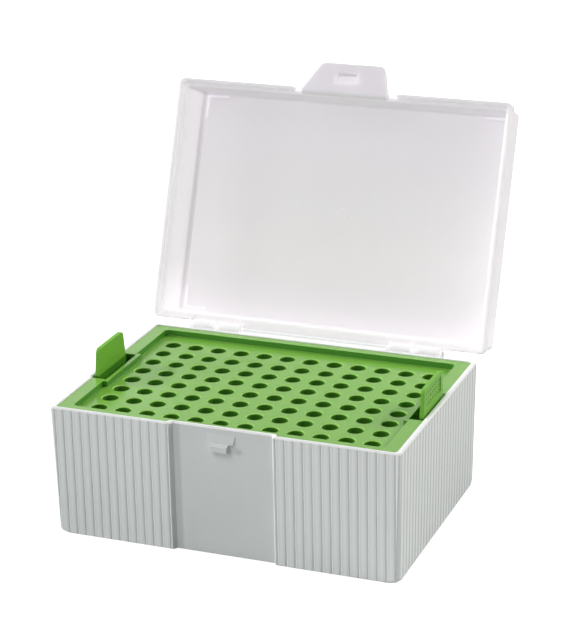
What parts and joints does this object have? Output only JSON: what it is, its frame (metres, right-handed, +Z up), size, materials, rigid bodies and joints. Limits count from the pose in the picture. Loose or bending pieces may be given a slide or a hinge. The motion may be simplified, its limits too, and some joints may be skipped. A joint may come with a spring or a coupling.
{
  "type": "pipette tip box",
  "caption": "Empty hinged plastic pipette tip box, open: ribbed box, green tray with wells in rows, upright translucent white lid with a folded-back latch tongue.",
  "frame": {"origin": "centre of the flat underside of the box", "axes": "+Z up, +Y towards the hinge at the back, +X to the right when the latch faces the viewer"},
  "size_m": [0.1292, 0.1388, 0.14],
  "materials": {
    "box_plastic": "pale grey moulded polypropylene, satin ribs and a plain rim",
    "tray_plastic": "leaf-green moulded polypropylene, soft gloss",
    "lid_plastic": "milky translucent polypropylene, smooth satin"
  },
  "bodies": {
    "box": {"base": "box_plastic", "tray": "tray_plastic"},
    "lid": {"lid": "lid_plastic"},
    "tongue": {"latch_tongue": "lid_plastic"}
  },
  "joints": [
    {"name": "lid_hinge", "type": "hinge", "parent": "box", "child": "lid", "pos_m": [0, 0.04685, 0.04654], "axis": [1, 0, 0], "range_deg": [0, 111.2]},
    {"name": "tongue_hinge", "type": "hinge", "parent": "lid", "child": "tongue", "pos_m": [0, 0.07892, 0.13128], "axis": [1, 0, 0], "range_deg": [0, 123.5]}
  ]
}
